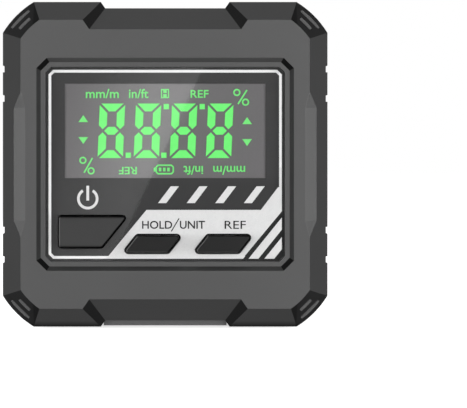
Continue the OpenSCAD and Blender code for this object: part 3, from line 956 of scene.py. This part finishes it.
class SetStage(bpy.types.Operator):
    """Set up the floor, the lights, the card and the camera"""

    bl_idname = "gauge.set_stage"
    bl_label = "Set Stage"
    bl_options = {"REGISTER", "UNDO"}

    def execute(self, context):
        studio = context.scene.gauge_studio
        self.set_room(context)
        middle = (0.0, -0.0105, 0.032)
        for name, way in (("left", -1), ("right", 1)):
            stage_light(f"{name}_panel", (way * 0.27, -0.6, 0.05), middle, (0.32, 0.40), studio.front)
            stage_light(f"{name}_strip", (way * 0.44, -0.245, 0.036), middle, (0.14, 0.34), studio.side)
            stage_light(f"{name}_fill", (way * 0.5, 0.04, 0.032), middle, (0.2, 0.3), studio.fill * 0.45)
            stage_light(f"{name}_rear", (way * 0.40, 0.57, 0.06), middle, (0.35, 0.5), studio.rear)
        stage_light("over_panel", (0.0, -0.6, 0.28), middle, (0.22, 0.26), studio.front * 0.7)
        stage_light("under_panel", (0.0, -0.6, -0.20), middle, (0.22, 0.26), studio.front * 0.5)
        stage_light("top_fill", (0.0, 0.04, 0.53), middle, (0.3, 0.2), studio.fill)
        stage_light("low_fill", (0.0, 0.04, -0.47), middle, (0.3, 0.2), studio.fill * 0.7)
        self.hang_card(studio)
        self.place_camera(context, studio, middle)
        return {"FINISHED"}

    def set_room(self, context):
        """Pale floor, with a painted contact shadow round the gauge's foot, under an even white room."""
        floor = Finish("pale_floor", base_color=(0.92, 0.92, 0.92), emission_strength=1.0)
        # Painted shadow: the floor's glow is dimmer close to the gauge's footprint.
        beside = abs(floor.place.part(0)) - 0.022
        before = abs(floor.place.part(1)) - 0.012
        away = beside.most(before).band(0.0, 0.006)
        floor.set("Emission Color", away.between((0.6, 0.6, 0.6), (0.95, 0.95, 0.95)))
        floor.set("Roughness", 0.75 + 0.1 * floor.noise(0.02))
        ways = ((-1, -1), (1, -1), (1, 1), (-1, 1))
        corners = [(x * FLOOR_REACH, y * FLOOR_REACH, FLOOR) for x, y in ways]
        plane = stage_plane("floor", corners, floor.material)
        plane.visible_diffuse = False
        plane.visible_glossy = False
        plane.visible_shadow = False
        world = bpy.data.worlds.new("white_room")
        world.use_nodes = True
        tree = world.node_tree
        shade = tree.nodes["Background"]
        seen = tree.nodes.new("ShaderNodeBackground")
        mix = tree.nodes.new("ShaderNodeMixShader")
        path = tree.nodes.new("ShaderNodeLightPath")
        shade.inputs["Color"].default_value = (1.0, 1.0, 1.0, 1.0)
        shade.inputs["Strength"].default_value = 0.08
        seen.inputs["Color"].default_value = (1.0, 1.0, 1.0, 1.0)
        seen.inputs["Strength"].default_value = 1.0
        tree.links.new(path.outputs["Is Camera Ray"], mix.inputs[0])
        tree.links.new(shade.outputs[0], mix.inputs[1])
        tree.links.new(seen.outputs[0], mix.inputs[2])
        tree.links.new(mix.outputs[0], tree.nodes["World Output"].inputs["Surface"])
        context.scene.world = world
        context.scene.view_settings.view_transform = "Standard"

    def hang_card(self, studio):
        """Card behind the camera whose slanted edge shows in the lens."""
        card = Finish("sheen_card", base_color=(0.0, 0.0, 0.0), emission_strength=studio.sheen)
        up = card.place.part(2)
        across = card.place.part(0) - CARD_LEAN * up
        bright = across.band(-0.066, -0.012) * up.band(-0.045, 0.022)
        card.set("Emission Color", bright.between((0.05, 0.05, 0.05), (0.98, 0.98, 0.98)))
        outline = ((-0.030, -0.024), (-0.14, -0.024), (-0.14, 0.09), (0.024, 0.09))
        corners = [(x, CARD_DEPTH, z) for x, z in outline]
        plane = stage_plane("sheen_card", corners, card.material)
        plane.visible_camera = False

    def place_camera(self, context, studio, middle):
        """Level camera in front of the display."""
        data = bpy.data.cameras.new("camera")
        data.sensor_width = SENSOR_WIDTH
        data.lens = studio.focal_length
        data.shift_x, data.shift_y = CAMERA_SHIFT
        data.clip_start = 0.01
        camera = bpy.data.objects.new("camera", data)
        camera.location = (middle[0], middle[1] - studio.distance, middle[2])
        camera.rotation_euler = (math.radians(90.0), 0.0, 0.0)
        context.scene.collection.objects.link(camera)
        context.scene.camera = camera


class GaugePanel(bpy.types.Panel):
    """Sidebar panel of the gauge"""

    bl_idname = "VIEW3D_PT_gauge"
    bl_label = "Digital Angle Gauge"
    bl_space_type = "VIEW_3D"
    bl_region_type = "UI"
    bl_category = "Gauge"

    def draw(self, context):
        scene = context.scene
        for group in (scene.gauge_colours, scene.gauge_sizes, scene.gauge_studio):
            column = self.layout.column(align=True)
            for name in group.__annotations__:
                column.prop(group, name)
        for operator in OPERATORS:
            self.layout.operator(operator.bl_idname)


GROUPS = (GaugeColours, GaugeSizes, GaugeStudio)
OPERATORS = (
    FinishHousing,
    FinishPanel,
    FinishDisplay,
    FinishButtons,
    FinishElectronics,
    FinishBattery,
    FinishBase,
    AddLabels,
    AddDisplayWords,
    SetStage,
)


def register():
    """Adds the settings, the operators and the panel."""
    for item in GROUPS + OPERATORS + (GaugePanel,):
        bpy.utils.register_class(item)
    bpy.types.Scene.gauge_colours = PointerProperty(type=GaugeColours)
    bpy.types.Scene.gauge_sizes = PointerProperty(type=GaugeSizes)
    bpy.types.Scene.gauge_studio = PointerProperty(type=GaugeStudio)


def unregister():
    """Takes the settings, the operators and the panel away."""
    del bpy.types.Scene.gauge_studio
    del bpy.types.Scene.gauge_sizes
    del bpy.types.Scene.gauge_colours
    for item in reversed(GROUPS + OPERATORS + (GaugePanel,)):
        bpy.utils.unregister_class(item)


def main():
    """Builds the whole picture."""
    register()
    for operator in OPERATORS:
        group, name = operator.bl_idname.split(".")
        if getattr(getattr(bpy.ops, group), name)() != {"FINISHED"}:
            raise RuntimeError(f"{operator.bl_label} did not finish")


if __name__ == "__main__":
    main()
